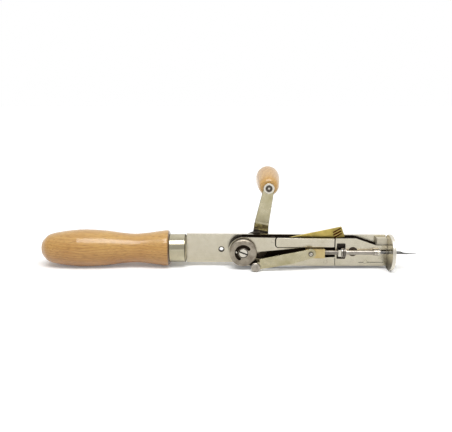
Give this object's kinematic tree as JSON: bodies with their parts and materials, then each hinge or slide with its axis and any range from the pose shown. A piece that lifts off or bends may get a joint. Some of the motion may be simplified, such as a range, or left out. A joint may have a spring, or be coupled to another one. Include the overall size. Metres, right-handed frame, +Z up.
{
  "type": "rug punch needle",
  "caption": "Hand-cranked rug punch needle: a wooden grip and flat bar carry a geared crank, a connecting rod and a sliding hollow needle behind a round presser foot.",
  "frame": {"origin": "centre of the presser foot's front face, on the needle axis", "axes": "+X along the tool in the punching direction, +Y from the crank disc's face towards the crank knob, +Z up as the tool stands on its lower edge"},
  "size_m": [0.3326, 0.0783, 0.085],
  "materials": {
    "beech": "varnished",
    "nickel": "nickel plated, satin",
    "bright_nickel": "nickel plated, polished",
    "steel": "turned steel, oiled",
    "black_steel": "blackened",
    "brass": "machined"
  },
  "bodies": {
    "frame": {"grip": "beech", "ferrule": "bright_nickel", "back_bar": "nickel", "front_plate": "nickel", "pillars": "nickel", "pillar_screw": "steel", "guide_strip": "nickel", "guide_block": "steel", "guide_bushing": "nickel", "guide_nut": "bright_nickel", "foot_block": "nickel", "presser_foot": "bright_nickel", "foot_screws": "steel", "lever_pin": "steel", "drive_bushes": "brass", "crank_bush": "brass"},
    "lever": {"thumb_lever": "brass"},
    "crank": {"crank_shaft": "steel", "crank_gear": "steel", "hub_disc": "black_steel", "crank_arm": "nickel", "crank_nut": "steel", "knob_washer": "bright_nickel", "knob_rivet": "steel"},
    "knob": {"crank_knob": "beech"},
    "drive": {"drive_shaft": "steel", "drive_pinion": "steel", "drive_washer": "steel", "crank_web": "black_steel", "face_disc": "steel", "disc_screw": "bright_nickel", "disc_stop_pin": "bright_nickel"},
    "slide": {"crosshead": "brass", "wrist_pin": "bright_nickel", "needle_bar": "steel", "needle_holder": "nickel", "holder_screw": "bright_nickel", "needle": "steel"},
    "rod": {"connecting_rod": "nickel", "crank_pin": "bright_nickel"}
  },
  "joints": [
    {"name": "crank_turn", "type": "hinge", "parent": "frame", "child": "crank", "pos_m": [-0.1175, 0, 0], "axis": [0, 1, 0], "continuous": true},
    {"name": "knob_spin", "type": "hinge", "parent": "crank", "child": "knob", "pos_m": [-0.1071, 0.02055, 0.0535], "axis": [0.0266, 0.9903, 0.1366], "continuous": true},
    {"name": "drive_turn", "type": "hinge", "parent": "frame", "child": "drive", "pos_m": [-0.1305, 0, 0], "axis": [0, 1, 0], "continuous": true},
    {"name": "needle_slide", "type": "slide", "parent": "frame", "child": "slide", "axis": [1, 0, 0], "range_m": [-0.024, 0.007]},
    {"name": "rod_swing", "type": "hinge", "parent": "slide", "child": "rod", "pos_m": [-0.07154, -0.004, 0], "axis": [0, 1, 0], "range_deg": [-4.9, 32.6]},
    {"name": "lever_press", "type": "hinge", "parent": "frame", "child": "lever", "pos_m": [-0.092, 0.008, 0.0064], "axis": [0, 1, 0], "range_deg": [0, 4]}
  ],
  "couplings": [
    {"joint": "drive_turn", "follows": "crank_turn", "ratio": -1.5}
  ]
}
